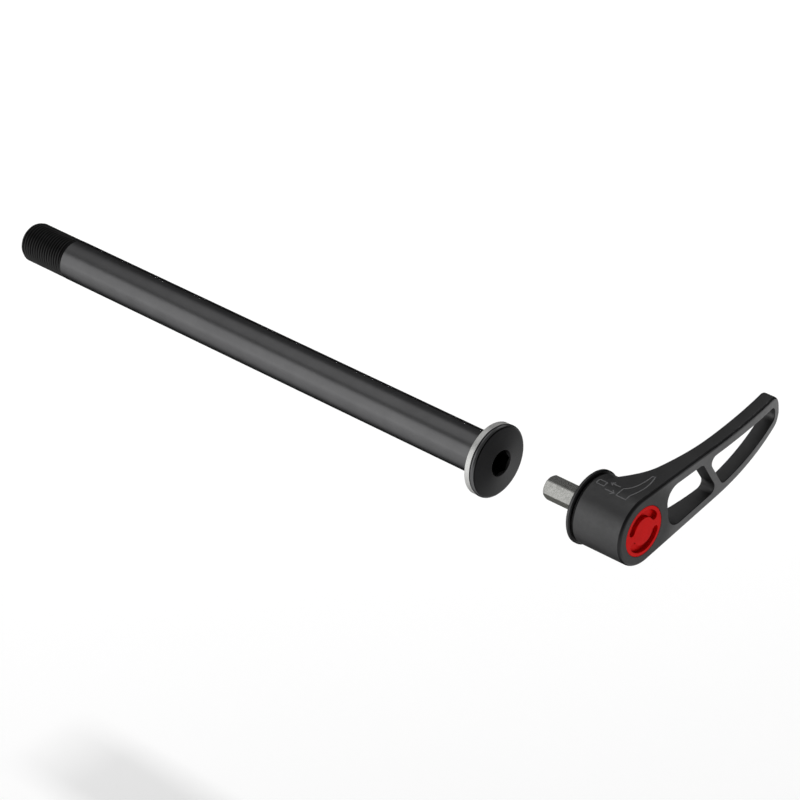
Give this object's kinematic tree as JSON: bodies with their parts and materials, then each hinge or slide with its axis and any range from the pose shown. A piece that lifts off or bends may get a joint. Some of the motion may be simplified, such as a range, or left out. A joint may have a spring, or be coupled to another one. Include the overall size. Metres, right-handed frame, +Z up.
{
  "type": "bicycle thru axle",
  "caption": "Hollow bicycle thru axle with threaded end, flanged head with loose washer, and a slotted plug-in lever that carries a reversible bit.",
  "frame": {"origin": "on the axle line, in the face of the loose washer that bears on the frame's dropout", "axes": "+X along the axle from its thread towards its head and lever, +Y the way the lever arm points but for its tilt, +Z up"},
  "size_m": [0.2296, 0.0716, 0.023],
  "materials": {
    "black_anodised": "satin black anodised",
    "washer_steel": "bare turned stainless steel",
    "ring_rubber": "black nitrile rubber",
    "red_anodised": "satin red anodised",
    "magnet_nickel": "nickel plated",
    "bit_steel": "satin tool steel"
  },
  "bodies": {
    "axle": {"axle_shaft": "black_anodised", "washer_ring": "ring_rubber"},
    "washer": {"head_washer": "washer_steel"},
    "lever": {"lever_body": "black_anodised", "lever_cap": "red_anodised", "bit_magnet": "magnet_nickel"},
    "bit": {"tool_bit": "bit_steel"}
  },
  "joints": [
    {"name": "washer_spin", "type": "hinge", "parent": "axle", "child": "washer", "pos_m": [0, 0, 0], "axis": [1, 0, 0], "continuous": true},
    {"name": "lever_plug", "type": "slide", "parent": "axle", "child": "lever", "axis": [1, 0, 0], "range_m": [-0.02985, 0]},
    {"name": "bit_pull", "type": "slide", "parent": "lever", "child": "bit", "axis": [1, 0, 0], "range_m": [-0.0115, 0]}
  ]
}
